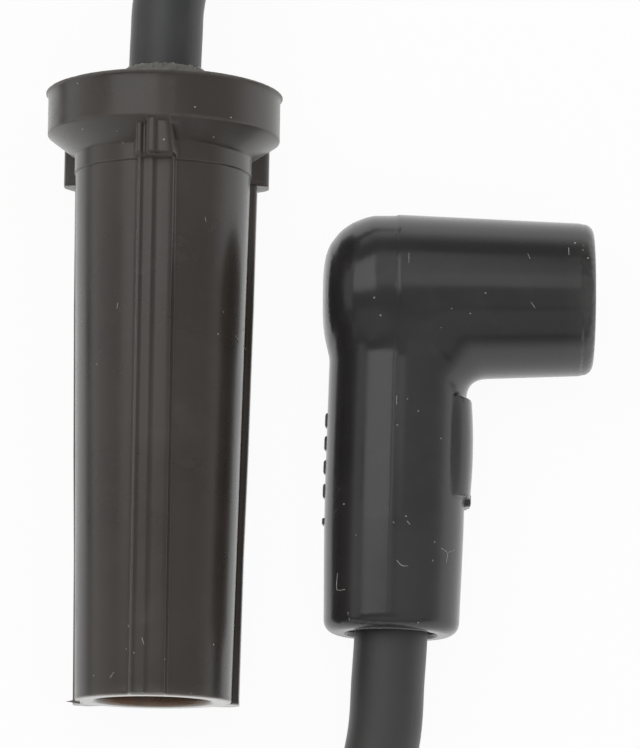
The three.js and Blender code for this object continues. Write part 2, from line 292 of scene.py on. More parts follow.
RUBBER_SPECULAR = 0.7
RUBBER_SHEEN = 0.4
SHEEN_ROUGHNESS = 0.3
BUMP_DEPTH = 0.00003
# Tone of the torn flash, also used as a painted highlight on the raised marks
TORN_FLASH_AND_HIGHLIGHT_TONE = colour(0.16, 0.155, 0.135)
WARM_TONE = colour(0.33, 0.165, 0.075)
FLECK_SHARE = 0.45
# Share of the wear layer, which on the raised marks is a painted highlight
WEAR_AND_HIGHLIGHT_SHARE = 0.8
# Share of the painted reflection on the tip's end face
END_FACE_PAINTED_REFLECTION_SHARE = 0.85
SMOOTH_GLOSS = 0.15


# The pale dusty tone also paints the highlight on the raised marks and the reflection on the tip's end
# face
def rubber(name, dark, light, dust_and_highlight, rough, grain):
    """Moulded rubber: mottled colour, fine grain, dusty bloom, specks, worn edges, torn flash and
    painted highlights.
    """
    g = Graph(name)
    place = g.add("ShaderNodeTexCoord").outputs["Object"]
    blotches = g.noise(place, 55, 4, 0.6)
    fine = g.noise(place, 420, 3, 0.6)
    micro = g.noise(place, 2600, 2, 0.5)
    flow = g.noise(g.stretch(place, (500, 22, 500)), 1.0, 3, 0.6)
    base = g.mix(g.ramp(blotches, 0.35, 0.68), colour(*dark), colour(*light))
    base = g.mix(g.ramp(fine, 0.5, 0.8, 0, 0.2), base, shade(light, 1.5))
    base = g.mix(g.ramp(flow, 0.55, 0.8, 0, 0.2), base, shade(dark, 0.72))
    bloom = g.ramp(g.noise(place, 130, 5, 0.7, 0.6), 0.57, 0.78, 0, 0.11)
    base = g.mix(bloom, base, colour(*dust_and_highlight))
    patchy = g.ramp(g.noise(place, 900, 3, 0.7), 0.25, 0.6, 0.35, 1.0)
    # Wear on edges; on the raised marks this layer is a painted highlight
    wear_and_painted_highlight = g.math("MULTIPLY", g.attribute("worn"), patchy)
    base = g.mix(g.math("MULTIPLY", wear_and_painted_highlight, WEAR_AND_HIGHLIGHT_SHARE), base, colour(*dust_and_highlight))
    crumbs = g.ramp(g.noise(place, 1100, 4, 0.75), 0.35, 0.65)
    # Torn flash at the neck and lip; on the raised marks this layer is a painted highlight
    torn_flash_and_painted_highlight = g.math("MULTIPLY", g.attribute("torn"), crumbs)
    base = g.mix(torn_flash_and_painted_highlight, base, TORN_FLASH_AND_HIGHLIGHT_TONE)
    warm = g.math("MULTIPLY", g.attribute("warm"), g.ramp(fine, 0.2, 0.7, 0.6, 1.0))
    base = g.mix(warm, base, WARM_TONE)
    # Painted reflection: the tip's end face is lightened towards a pale tone and made glossier
    smooth_and_painted_reflection = g.attribute("smooth_and_painted_reflection")
    base = g.mix(g.math("MULTIPLY", smooth_and_painted_reflection, END_FACE_PAINTED_REFLECTION_SHARE), base, shade(dust_and_highlight, 1.7))
    specks = g.math(
        "MAXIMUM",
        g.specks(place, 330, 0.045, 0.05),
        g.specks(g.stretch(place, (1.3, 0.9, 1.1)), 620, 0.03, 0.07),
    )
    base = g.mix(g.math("MULTIPLY", specks, FLECK_SHARE), base, shade(dust_and_highlight, 2.6))
    roughness = g.math("ADD", g.ramp(blotches, 0.3, 0.7, rough - 0.03, rough + 0.04), bloom)
    roughness = g.math("ADD", roughness, g.math("MULTIPLY", wear_and_painted_highlight, 0.12))
    roughness = g.math("ADD", roughness, g.math("MULTIPLY", torn_flash_and_painted_highlight, 0.3))
    roughness = g.math("SUBTRACT", roughness, g.math("MULTIPLY", smooth_and_painted_reflection, SMOOTH_GLOSS))
    height = g.math("ADD", g.math("MULTIPLY", micro, 0.3), g.math("MULTIPLY", fine, 0.5))
    height = g.math("ADD", height, g.math("MULTIPLY", flow, 0.4))
    return g.principled({
        "Base Color": base,
        "Roughness": roughness,
        "Specular IOR Level": RUBBER_SPECULAR,
        "Sheen Weight": RUBBER_SHEEN,
        "Sheen Roughness": SHEEN_ROUGHNESS,
        "Normal": g.bump(height, BUMP_DEPTH * grain),
    })


JACKET_SPECULAR = 0.6
JACKET_SHEEN = 0.35
JACKET_DARK = colour(0.033, 0.0345, 0.034)
JACKET_LIGHT = colour(0.042, 0.043, 0.0415)
JACKET_LINE = colour(0.055, 0.055, 0.052)
JACKET_BLOOM = colour(0.07, 0.07, 0.067)
JACKET_FLECK = colour(0.32, 0.31, 0.29)


def jacket(name):
    """Extruded cable jacket: matt charcoal with fine lines along it, dusty specks and scuffs."""
    g = Graph(name)
    along = g.attribute("along")
    around = g.attribute("around")
    place = g.add("ShaderNodeTexCoord").outputs["Object"]
    unrolled = g.add("ShaderNodeCombineXYZ", {0: around, 1: along, 2: 0.0}).outputs[0]
    lines = g.noise(g.stretch(unrolled, (2600, 20, 1)), 1.0, 3, 0.6)
    blotches = g.noise(place, 70, 4, 0.6)
    fine = g.noise(place, 1500, 3, 0.6)
    base = g.mix(g.ramp(blotches, 0.35, 0.7), JACKET_DARK, JACKET_LIGHT)
    base = g.mix(g.ramp(lines, 0.5, 0.8, 0, 0.3), base, JACKET_LINE)
    base = g.mix(g.ramp(fine, 0.55, 0.8, 0, 0.2), base, JACKET_BLOOM)
    specks = g.specks(place, 420, 0.05, 0.055)
    lint = g.hairs(unrolled, 2000, (0, 0, 0.5), 0.1, 0.02)
    flecks = g.math("MULTIPLY", g.math("MAXIMUM", specks, lint), FLECK_SHARE)
    base = g.mix(flecks, base, JACKET_FLECK)
    roughness = g.ramp(blotches, 0.3, 0.7, 0.4, 0.48)
    height = g.math("ADD", g.math("MULTIPLY", lines, 0.6), g.math("MULTIPLY", fine, 0.6))
    return g.principled({
        "Base Color": base,
        "Roughness": roughness,
        "Specular IOR Level": JACKET_SPECULAR,
        "Sheen Weight": JACKET_SHEEN,
        "Sheen Roughness": SHEEN_ROUGHNESS,
        "Normal": g.bump(height, BUMP_DEPTH),
    })


def metal(name, tone, stain, rough, grain):
    """Stamped or drawn metal with fine drawing lines, stains and small pits."""
    g = Graph(name)
    place = g.add("ShaderNodeTexCoord").outputs["Object"]
    drawn = g.noise(g.stretch(place, (3000, 90, 3000)), 1.0, 3, 0.6)
    cloud = g.noise(place, 260, 4, 0.6)
    pits = g.specks(place, 1500, 0.2, 0.12)
    base = g.mix(g.ramp(cloud, 0.4, 0.75, 0, 0.7), colour(*tone), colour(*stain))
    base = g.mix(g.ramp(drawn, 0.45, 0.8, 0, 0.3), base, shade(tone, 0.6))
    base = g.mix(g.math("MULTIPLY", pits, 0.5), base, shade(stain, 0.4))
    roughness = g.ramp(cloud, 0.3, 0.75, rough, rough + 0.18)
    height = g.math("SUBTRACT", g.math("MULTIPLY", drawn, grain), g.math("MULTIPLY", pits, 0.6))
    return g.principled({
        "Base Color": base,
        "Metallic": 1.0,
        "Roughness": roughness,
        "Normal": g.bump(height, 0.00002),
    })


def strand(name):
    """Carbon-coated glass strand: black twisted fibres with pale broken ends."""
    g = Graph(name)
    place = g.add("ShaderNodeTexCoord").outputs["Object"]
    fibres = g.noise(g.stretch(place, (5200, 420, 5200), (0.2, 0, 0.3)), 1.0, 3, 0.6)
    tips = g.specks(place, 2100, 0.1, 0.1)
    base = g.mix(g.ramp(fibres, 0.35, 0.7), colour(0.006, 0.006, 0.006), colour(0.028, 0.028, 0.028))
    base = g.mix(g.math("MULTIPLY", tips, 0.4), base, colour(0.3, 0.29, 0.26))
    return g.principled(
        {"Base Color": base, "Roughness": 0.72, "Normal": g.bump(fibres, 0.00008)}
    )


def lint(name):
    """Pale fibres and crumbs that stick to the rubber."""
    g = Graph(name)
    place = g.add("ShaderNodeTexCoord").outputs["Object"]
    fibres = g.noise(place, 3500, 3, 0.6)
    base = g.mix(g.ramp(fibres, 0.35, 0.65), colour(0.2, 0.195, 0.18), colour(0.42, 0.41, 0.38))
    return g.principled({"Base Color": base, "Roughness": 0.75})


BROWN = rubber(
    "brown_black_rubber",
    dark=(0.030, 0.0238, 0.0197),
    light=(0.0405, 0.0325, 0.0272),
    dust_and_highlight=(0.15, 0.14, 0.125),
    rough=0.28,
    grain=0.6,
)
BLACK = rubber(
    "black_rubber",
    dark=(0.022, 0.0205, 0.021),
    light=(0.0295, 0.0275, 0.028),
    dust_and_highlight=(0.1, 0.098, 0.092),
    rough=0.2,
    grain=0.5,
)
JACKET = jacket("cable_jacket")
PLATED = metal("plated_steel", (0.62, 0.62, 0.6), (0.42, 0.41, 0.36), 0.3, 0.6)
SPRING = metal("spring_steel", (0.45, 0.46, 0.48), (0.3, 0.29, 0.28), 0.26, 0.9)
BRASS = metal("brass", (0.62, 0.45, 0.2), (0.4, 0.27, 0.12), 0.3, 0.5)
STRAND = strand("carbon_strand")
LINT = lint("pale_lint")


# Cable: the route is the one that the solid follows

CABLE_R = 3.97
CABLE_SIDES = 56
CABLE_STEP = 1.0
CABLE_ROUTE = [
    (-17.36, 6.75, 11.27), (-17.24, 15.73, 11.9), (-17.1, 26, 12.62), (-16.97, 34.88, 13.23),
    (-16.82, 38.7, 13.44), (-16.54, 43, 13.4), (-13.2, 55.8, 12.5), (-4.9, 66, 10.8),
    (3.3, 76, 8.7), (6.9, 88.3, 6.6), (5.4, 101.1, 5), (-1, 112.2, 4.2), (-11.3, 120, 4.05),
    (-23.8, 123.1, 4.05), (-36.4, 121, 4.05), (-47.3, 114.2, 4.05), (-54.6, 103.6, 4.05),
    (-57.2, 91, 4.05), (-57.4, 74, 4.05), (-57.4, 56, 4.05), (-57.3, 38, 4.05), (-57.3, 20, 4.05),
    (-57.3, 2, 4.05), (-57.4, -18, 4.05), (-57.3, -35.8, 4.05), (-55, -47.7, 4.05),
    (-48.4, -57.9, 4.05), (-38.5, -65, 4.05), (-26.6, -67.8, 4.15), (-14.6, -66, 4.5),
    (-4.1, -59.9, 5.1), (3.4, -50.3, 5.9), (6.82, -38.6, 6.67), (7.4, -31.7, 7.04),
    (7.73, -26.84, 7.29), (7.94, -19.85, 7.63), (8.17, -11.86, 8.02), (8.43, -2.88, 8.46),
]


def make_cable():
    line = catmull_rom(CABLE_ROUTE, CABLE_STEP) * MM
    cable = tube("ignition_cable_jacket", line, CABLE_R * MM, CABLE_SIDES, JACKET)
    place_piece(cable, "cable")


make_cable()


# Straight boot, in millimetres along its axis from the tip. Angle 0 faces up and grows towards +X.

PLUG_LENGTH = 66.9
TIP_R = 8.45
BARREL_TOP_R = 9.6
SOCKET_R = 6.15
SOCKET_DEPTH = 25.0
POCKET_R = 5.5
POCKET_END = 50.6
CABLE_HOLE_R = 4.3
FLANGE_R = 12.75
FLANGE_FOOT = 61.8
CHAMFER_FOOT = 59.6
WALL_TOP = 58.3
PARTING_AT = 57.72
COLLAR_R = 9.7
LIP_R = 13.0
NECK_TOP = 69.5
RIB_ANGLES = (-2.1, 115.0, -122.5)
RIB_WIDTH = 3.9
RIB_PLACES = (0, 16, 27.3, 43.6, 58.3)
RIB_RADII = (9.28, 9.55, 9.9, 10.28, 10.47)
LUG_WIDTH = 4.3
LUG_RADII = (12.35, 11.76, 11.84)
LUG_FEET = (57.85, 57.3, 57.3)
FRONT_LUG_TAPER = 0.27
LUG_ROUND = 0.05
SIDE_RIB_LIMIT = 12.7
SIDE_RIB_UPRIGHT = 1.2
WALL_COLUMNS = 58
WALL_STEP = 0.9
WALL_WOBBLE = 0.05
NECK_JAG = 0.08
NECK_TOP_JAG = 0.1
LIP_JAG = 0.05
SIDE_LUG_ROWS = [57.1, 57.24, 57.285, 57.315, 57.36, 57.45, 57.56]
FRONT_LUG_ROWS = [57.83, 57.865, 57.91, 58.0, 58.3, 58.7, 59.1, 59.35]
CHAMFER_ROWS = 14
FLANGE_ROWS = 7
SOCKET_RING_DEPTH = 0.14
SOCKET_RING_PITCH = 4.2
SOCKET_RING_START = 4.0
SOCKET_RINGS_END = 19
WARM_DEPTH = 0.6
TILTED_ROWS = ((0, 56, 60, 61.8, 66.3, 70), (0, 0, 0.006, 0.012, 0.003, 0.003))
LIP_SAG = 0.0017
LIP_SAG_ROWS = ((65.9, 66.5), (0, 1))
PLUG_TIP = Vector((-17.93, -34.45, 8.402))
PLUG_AXIS = Vector((0.013754, 0.997485, 0.069523)).normalized()
PLUG_UP = Vector((-0.000959, -0.069517, 0.99758)).normalized()
PLUG_BASIS = np.array([PLUG_AXIS.cross(PLUG_UP), PLUG_UP, PLUG_AXIS])

# Columns across a rib: [place across it in half widths, share of its height]
TOP_RIB = [
    (-1.12, 0.0), (-1.06, 0.1), (-1.02, 0.45), (-1.0, 0.8), (-0.98, 0.92), (-0.94, 0.965), (-0.88, 1.0),
    (-0.85, 0.99), (-0.8, 0.92), (-0.72, 0.84), (-0.65, 0.82), (-0.6, 0.84), (-0.5, 0.9), (-0.38, 0.98),
    (-0.27, 1.04), (-0.2, 1.055), (-0.15, 1.03), (-0.09, 0.92), (-0.02, 0.83), (0.1, 0.82), (0.2, 0.855),
    (0.45, 0.885), (0.7, 0.9), (0.85, 0.9), (0.95, 0.8), (1.02, 0.35), (1.12, 0.0),
]
FRONT_LUG = [
    (-1.03, 0.0), (-1.02, 0.2), (-1.01, 0.5), (-1.0, 0.72), (-0.97, 0.78), (-0.93, 0.8), (-0.86, 0.83),
    (-0.76, 0.83), (-0.71, 0.81), (-0.68, 0.78), (-0.65, 0.75), (-0.56, 0.74), (-0.5, 0.78),
    (-0.47, 0.87), (-0.44, 1.0), (-0.4, 1.04), (-0.28, 1.08), (-0.12, 1.115), (-0.04, 1.1),
    (0.02, 1.04), (0.06, 0.97), (0.12, 0.95), (0.25, 0.965), (0.6, 0.965), (0.86, 0.96),
    (0.97, 0.85), (1.03, 0.0),
]
HALF_RIB = [
    (1.1, 0.0), (1.06, 0.03), (1.03, 0.12), (1.01, 0.4), (1.0, 0.7), (0.985, 0.82), (0.96, 0.9),
    (0.92, 0.955), (0.86, 0.985), (0.78, 1.0), (0.55, 1.0), (0.3, 1.0), (0.1, 1.0),
]
SIDE_RIB = [(-a, share) for a, share in HALF_RIB] + [(0.0, 1.0)] + HALF_RIB[::-1]
RIB_EDGE = HALF_RIB[0][0]


def wobble(angle, along, seed, size):
    """A slowly varying small change over the wall, from 0 to -size."""
    rng = np.random.default_rng(seed)
    total = np.zeros(np.broadcast(angle, along).shape)
    for _ in range(7):
        turns = rng.integers(1, 6)
        waves = rng.uniform(0.03, 0.16)
        phase = rng.uniform(0, 2 * math.pi, 2)
        total = total + np.sin(turns * angle + phase[0]) * np.sin(waves * along + phase[1])
    return -size * (0.5 + total / 10)


def plug_wall(z):
    return TIP_R + (BARREL_TOP_R - TIP_R) * z / WALL_TOP


def plug_rows():
    """Outline of the straight boot as (radius, height, ribbed, worn), from inside the mouth over the
    outside to the neck and back through the inside."""
    rows = [
        (SOCKET_R, 1.2, 0, 0.1), (SOCKET_R, 0.6, 0, 0.1), (SOCKET_R + 0.05, 0.3, 0, 0.2),
        (SOCKET_R + 0.2, 0.08, 0, 0.2), (SOCKET_R + 0.4, 0.0, 0, 0.1), (6.9, 0.0, 0, 0.1),
        (7.4, 0.0, 0, 0.1), (7.9, 0.0, 0, 0.1), (TIP_R - 0.12, 0.015, 1, 0.2),
        (TIP_R - 0.03, 0.07, 1, 0.5), (TIP_R, 0.2, 1, 0.3), (TIP_R + 0.01, 0.6, 1, 0.1),
    ]
    for z in list(np.arange(1.4, 57, WALL_STEP)) + SIDE_LUG_ROWS:
        rows.append((plug_wall(z), z, 1, 0.0))
    groove = plug_wall(PARTING_AT) - 0.05
    rows += [
        (groove, PARTING_AT - 0.08, 1, 0.0), (groove, PARTING_AT - 0.03, 1, 0.1),
        (COLLAR_R + 0.02, PARTING_AT, 1, 0.3), (COLLAR_R, PARTING_AT + 0.06, 1, 0.1),
    ]
    for z in FRONT_LUG_ROWS + [CHAMFER_FOOT - 0.1]:
        rows.append((COLLAR_R, z, 1, 0.0))
    rows.append((COLLAR_R + 0.02, CHAMFER_FOOT, 1, 0.0))
    chamfer = FLANGE_FOOT - CHAMFER_FOOT
    for share in np.linspace(0.04, 0.96, CHAMFER_ROWS):
        rows.append((COLLAR_R + (FLANGE_R - COLLAR_R) * share, CHAMFER_FOOT + chamfer * share, 1, 0.0))
    rows += [
        (FLANGE_R - 0.03, FLANGE_FOOT - 0.02, 1, 0.25), (FLANGE_R, FLANGE_FOOT + 0.1, 0, 0.25),
        (FLANGE_R, FLANGE_FOOT + 0.35, 0, 0.0),
    ]
    for z in np.linspace(FLANGE_FOOT + 0.8, PLUG_LENGTH - 0.75, FLANGE_ROWS):
        rows.append((FLANGE_R, z, 0, 0.0))
    top = PLUG_LENGTH
    rows += [
        (FLANGE_R, top - 0.5, 0, 0.0), (FLANGE_R + 0.02, top - 0.36, 0, 0.2),
        (FLANGE_R + 0.1, top - 0.26, 0, 0.5), (LIP_R - 0.02, top - 0.18, 0, 0.8),
        (LIP_R, top - 0.1, 0, 0.9), (LIP_R - 0.03, top - 0.03, 0, 0.9),
        (FLANGE_R - 0.05, top - 0.02, 0, 0.7), (FLANGE_R - 0.25, top - 0.06, 0, 0.3),
        (FLANGE_R - 0.4, top - 0.24, 0, 0.1), (FLANGE_R - 0.6, top - 0.27, 0, 0.1),
        (FLANGE_R - 0.85, top - 0.2, 0, 0.4), (FLANGE_R - 1.1, top - 0.27, 0, 0.1),
        (11.0, top - 0.28, 0, 0.1), (9.8, top - 0.27, 0, 0.1), (8.6, top - 0.26, 0, 0.1),
        (7.6, top - 0.22, 0, 0.1), (6.6, top - 0.12, 0, 0.1), (5.9, top + 0.05, 0, 0.2),
        (5.5, top + 0.3, 0, 0.3), (5.2, top + 0.6, 0, 0.4), (4.95, top + 0.95, 0, 0.6),
        (4.8, top + 1.3, 0, 0.8), (4.7, top + 1.65, 0, 1.0), (4.6, top + 2.0, 0, 1.0),
        (4.45, NECK_TOP - 0.25, 0, 1.0), (4.25, NECK_TOP - 0.08, 0, 1.0), (4.1, NECK_TOP - 0.1, 0, 0.8),
        (4.03, NECK_TOP - 0.3, 0, 0.4), (4.08, NECK_TOP - 1.0, 0, 0.2), (4.2, NECK_TOP - 3.0, 0, 0.1),
        (CABLE_HOLE_R, top - 3.0, 0, 0.0), (CABLE_HOLE_R, POCKET_END + 0.1, 0, 0.0),
        (CABLE_HOLE_R + 0.1, POCKET_END, 0, 0.0), (POCKET_R - 0.1, POCKET_END, 0, 0.0),
        (POCKET_R, POCKET_END - 0.1, 0, 0.0), (POCKET_R, SOCKET_DEPTH + 12, 0, 0.0),
        (POCKET_R, SOCKET_DEPTH + 0.2, 0, 0.0), (POCKET_R + 0.15, SOCKET_DEPTH, 0, 0.1),
        (SOCKET_R - 0.15, SOCKET_DEPTH, 0, 0.1), (SOCKET_R, SOCKET_DEPTH - 0.2, 0, 0.0),
    ]
    for z in np.arange(SOCKET_DEPTH - 0.8, 2.0, -0.4):
        ring = 0.0
        if z < SOCKET_RINGS_END:
            wave = math.cos((z - SOCKET_RING_START) * 2 * math.pi / SOCKET_RING_PITCH)
            ring = SOCKET_RING_DEPTH * max(0.0, wave) ** 6
        rows.append((SOCKET_R - ring, z, 0, 0.0))
    return rows


def rib_size(number, z):
    """Half width and outer radius of a rib, or of its lug, at this height."""
    above = z - LUG_FEET[number]
    if above > 0:
        return LUG_WIDTH / 2, LUG_RADII[number] - LUG_ROUND * math.exp(-above / 0.04)
    return RIB_WIDTH / 2, float(np.interp(z, RIB_PLACES, RIB_RADII))


def rib_points(number, z, gauge, ribbed, flat_radius):
    """Points across one rib at one height, and which of them are its worn edges."""
    middle = math.radians(RIB_ANGLES[number])
    half, outer = rib_size(number, z)
    lug = z > LUG_FEET[number]
    section = SIDE_RIB if number else FRONT_LUG if lug else TOP_RIB
    narrow = 1 - FRONT_LUG_TAPER * min(max((z - LUG_FEET[0]) / 4, 0), 1)
    foot_gauge = min(gauge, COLLAR_R)
    points, edges = [], []
    for across, share in section:
        side = across * half * (narrow if number == 0 and across > 0.2 else 1)
        top = outer
        if number:
            down = half + side * math.copysign(1, middle)
            upright = min(down, SIDE_RIB_UPRIGHT * half) - max(0, down - SIDE_RIB_UPRIGHT * half)
            top = min(outer + upright * -1 / math.tan(abs(middle)), max(SIDE_RIB_LIMIT, outer))
        base = math.sqrt(gauge ** 2 - side ** 2)
        foot = math.sqrt(foot_gauge ** 2 - side ** 2)
        rise = max(foot + (top - foot) * share - base, 0) if ribbed else 0
        turn = middle + math.atan2(side, base + rise)
        reach = math.hypot(side, base + rise) if ribbed else flat_radius
        points.append((reach * math.sin(turn), reach * math.cos(turn)))
        edges.append(ribbed and 0.9 < abs(across) < 0.995 and share > 0.8)
    return points, edges


def plug_section(radius, z, ribbed):
    """Points round the boot at one height, and which of them are a rib's worn edges."""
    middles = np.radians(RIB_ANGLES)
    gauge = radius if ribbed else BARREL_TOP_R
    points, edges = [], []
    for number, middle in enumerate(middles):
        rib, worn = rib_points(number, z, gauge, ribbed, radius)
        points += rib
        edges += worn
        after = (number + 1) % len(middles)
        start = middle + math.asin(RIB_EDGE * rib_size(number, z)[0] / gauge)
        stop = middles[after] - math.asin(RIB_EDGE * rib_size(after, z)[0] / gauge)
        span = (stop - start) % (2 * math.pi)
        for j in range(1, WALL_COLUMNS):
            turn = start + span * j / WALL_COLUMNS
            points.append((radius * math.sin(turn), radius * math.cos(turn)))
            edges.append(False)
    return points, edges


def make_plug_boot():
    rows = plug_rows()
    sections = [plug_section(radius, z, ribbed) for radius, z, ribbed, _ in rows]
    columns = len(sections[0][0])
    points = np.zeros((len(rows), columns, 3))
    points[..., :2] = [section[0] for section in sections]
    points[..., 2] = np.array([row[1] for row in rows])[:, None]
    worn = np.repeat(np.array([row[3] for row in rows])[:, None], columns, 1)
    worn = np.maximum(worn, 0.3 * np.array([section[1] for section in sections]))
    rng = np.random.default_rng(SEED)
    jag = rng.normal(0, 1, (len(rows), columns))
    jag = (jag + np.roll(jag, 1, 1) + np.roll(jag, -1, 1)) / 3
    radii = np.array([row[0] for row in rows])[:, None]
    heights = np.array([row[1] for row in rows])[:, None]
    neck = (heights > PLUG_LENGTH + 0.5) & (radii < 5.3) & (radii > 4.2)
    lip = np.abs(radii - LIP_R) < 0.05
    outside = (radii > 8.3) & (heights > 0.5) & (heights < PLUG_LENGTH - 0.6)
    turns = np.arctan2(points[..., 0], points[..., 1])
    reach = np.hypot(points[..., 0], points[..., 1])
    change = wobble(turns, points[..., 2], SEED, WALL_WOBBLE) * outside
    change = change + NECK_JAG * jag * neck - LIP_JAG * np.abs(jag) * lip
    points[..., :2] *= ((reach + change) / reach)[..., None]
    points[..., 2] += NECK_TOP_JAG * np.roll(jag, 5, 1) * (neck & (radii < 4.75))
    sag = LIP_SAG * np.interp(points[..., 2], *LIP_SAG_ROWS) * points[..., 0] ** 2
    points[..., 2] -= np.interp(points[..., 2], *TILTED_ROWS) * points[..., 0] + sag
    world = (np.array(PLUG_TIP) + points.reshape(-1, 3) @ PLUG_BASIS) * MM
    world[:, 2] = np.maximum(world[:, 2], 0)
    boot = mesh_object("straight_boot", world, grid_faces(len(rows), columns, close_rows=True), BROWN)
    add_attribute(boot, "worn", worn)
    neck_edge = neck & (heights > NECK_TOP - 0.3)
    torn = np.clip(neck * 0.5 + neck_edge * 0.5 + lip * 0.35, 0, 1)
    add_attribute(boot, "torn", np.repeat(torn, columns, 1))
    # The tip's end face: a painted reflection in its colour, and a lower roughness
    end_face = (heights < 0.1) & (radii > SOCKET_R + 0.1) & (radii < TIP_R)
    add_attribute(boot, "smooth_and_painted_reflection", np.repeat(end_face * 1.0, columns, 1))
    low_wall = np.clip(-points[..., 1] / SOCKET_R, 0, 1) * (radii < SOCKET_R + 0.25) * (heights < 9)
    fading = np.exp(-np.maximum(heights, 0) / WARM_DEPTH)
    add_attribute(boot, "warm", np.clip(1.6 * low_wall, 0, 1) * fading)
    place_piece(boot, "spark_plug_boot")
    return boot


straight_boot = make_plug_boot()


# Right-angle boot, as a distance field in millimetres: the arm runs along local +X, the stem along
# local -Y, and local +Z faces up.

ANGLE_AT = np.array([8.8, 10.1, 9.1])
STEM_LEAN = math.radians(1.65)
ARM_LEAN = math.radians(-0.5)
ARM_LENGTH = 21.12
ARM_END_R = 8.28
ARM_LIP_R = 1.15
STEM_LENGTH = 37.1
STEM_END_R = 7.35
STEM_LIP_R = 1.4
ANGLE_TILT = math.asin((ANGLE_AT[2] - STEM_END_R) / (STEM_LENGTH - STEM_LIP_R))
VOXEL = 0.3
FIELD_LOW = np.array([-9.6, -38.4, -9.9])
FIELD_HIGH = np.array([22.2, 10.1, 9.9])
FILLET = 2.4
BACK_FILLET = 0.9
FILLET_CHANGE = (-5.0, 3.0)
DOME_BACK = -8.45
DOME = [
    (0, 0), (2.05, 0.02), (3.4, 0.12), (4.67, 0.35), (5.81, 0.79), (6.42, 1.21), (7.3, 1.95),
    (8.17, 3.15), (8.4, 3.63), (8.78, 4.6), (9.0, 5.5), (9.03, 6.2),
]
LIP_POINTS = 8
STEM_WALL = [(0, 7.45), (12, 7.55), (20, 7.6), (25.4, 7.58), (28.9, 7.51), (32.5, 7.42), (35.2, 7.36)]

# Raised pad and small block on the stem's side, with widths measured round the stem
GAUGE_R = 8
RAISED_FOOT_R = 6.9
PAD_AT = 16.75
PAD_HALF_LENGTH = 5.45
PAD_HALF_WIDTH = 5.2
PAD_CORNER = 0.9
PAD_R = 8.4
PAD_BOW = 0.008
PAD_BOW_AT = 17
PAD_ROUND = 0.8
PAD_BLEND = 0.4
BLOCK_AT = 22.3
BLOCK_AROUND = -1.3
BLOCK_HALF_LENGTH = 0.6
BLOCK_HALF_WIDTH = 1.9
BLOCK_CORNER = 0.25
BLOCK_R = 8.3
BLOCK_BLEND = 0.15


def outline_distance(outline, r, t):
    """Signed distance from (r, t) points to a closed outline, negative inside."""
    corners = np.asarray(outline, float)
    best = np.full(np.shape(r), 1e9)
    inside = np.zeros(np.shape(r), bool)
    for a, b in zip(corners, np.roll(corners, -1, axis=0)):
        run = b - a
        length2 = run @ run
        if length2 < 1e-12:
            continue
        share = np.clip(((r - a[0]) * run[0] + (t - a[1]) * run[1]) / length2, 0, 1)
        best = np.minimum(best, (r - a[0] - share * run[0]) ** 2 + (t - a[1] - share * run[1]) ** 2)
        if abs(run[1]) > 1e-12:
            crosses = ((a[1] > t) != (b[1] > t)) & (r < a[0] + (t - a[1]) * run[0] / run[1])
            inside ^= crosses
    return np.where(inside, -1, 1) * np.sqrt(best)


def lip_points(outer, end, radius):
    """Quarter round from the wall at the outer radius to the flat end."""
    turns = np.radians(np.linspace(0, 90, LIP_POINTS))
    return [(outer - radius + radius * math.cos(a), end - radius + radius * math.sin(a)) for a in turns]


def arm_outline():
    dome = [(r, t + DOME_BACK) for r, t in catmull_rom(DOME, 0.4)]
    body = [(9.04, -0.42), (9.14, -0.24), (9.16, -0.1), (8.37, 19.6), (8.36, 19.7), (8.29, 19.78)]
    lip = lip_points(ARM_END_R, ARM_LENGTH, ARM_LIP_R)
    return [(-1, DOME_BACK)] + dome + body + lip + [(-1, ARM_LENGTH)]


def stem_outline():
    wall = [(r, t) for t, r in STEM_WALL]
    lip = lip_points(STEM_END_R, STEM_LENGTH, STEM_LIP_R)
    return [(-1, 0)] + wall + lip + [(-1, STEM_LENGTH)]


def stem_bore_outline():
    return [
        (-1, 0), (5.5, 0), (5.5, 22.3), (4.3, 22.3), (4.3, 33.9), (4.5, 34.9), (4.72, 36.1),
        (4.85, 36.8), (5.2, 37.4), (5.2, 38.5), (-1, 38.5),
    ]


def arm_bore_outline():
    return [
        (-1, -5.1), (5.5, -5.1), (5.5, 9.15), (6.0, 9.15), (6.0, 11.9), (5.85, 12.4), (5.85, 13.1),
        (6.0, 13.6), (6.0, 15.9), (5.85, 16.4), (5.85, 17.1), (6.0, 17.6), (6.0, 20.4), (6.2, 20.9),
        (6.6, 21.3), (6.6, 23), (-1, 23),
    ]


ARM_OUTLINE = arm_outline()
STEM_OUTLINE = stem_outline()
STEM_BORE = stem_bore_outline()
ARM_BORE = arm_bore_outline()


def smooth_min(a, b, reach):
    """The nearer of two distances, blended where they are close."""
    share = np.clip(0.5 + 0.5 * (b - a) / reach, 0, 1)
    return b + (a - b) * share - reach * share * (1 - share)


def rounded_box(x, y, half_x, half_y, corner):
    dx = np.abs(x) - half_x + corner
    dy = np.abs(y) - half_y + corner
    return np.hypot(np.maximum(dx, 0), np.maximum(dy, 0)) + np.minimum(np.maximum(dx, dy), 0) - corner


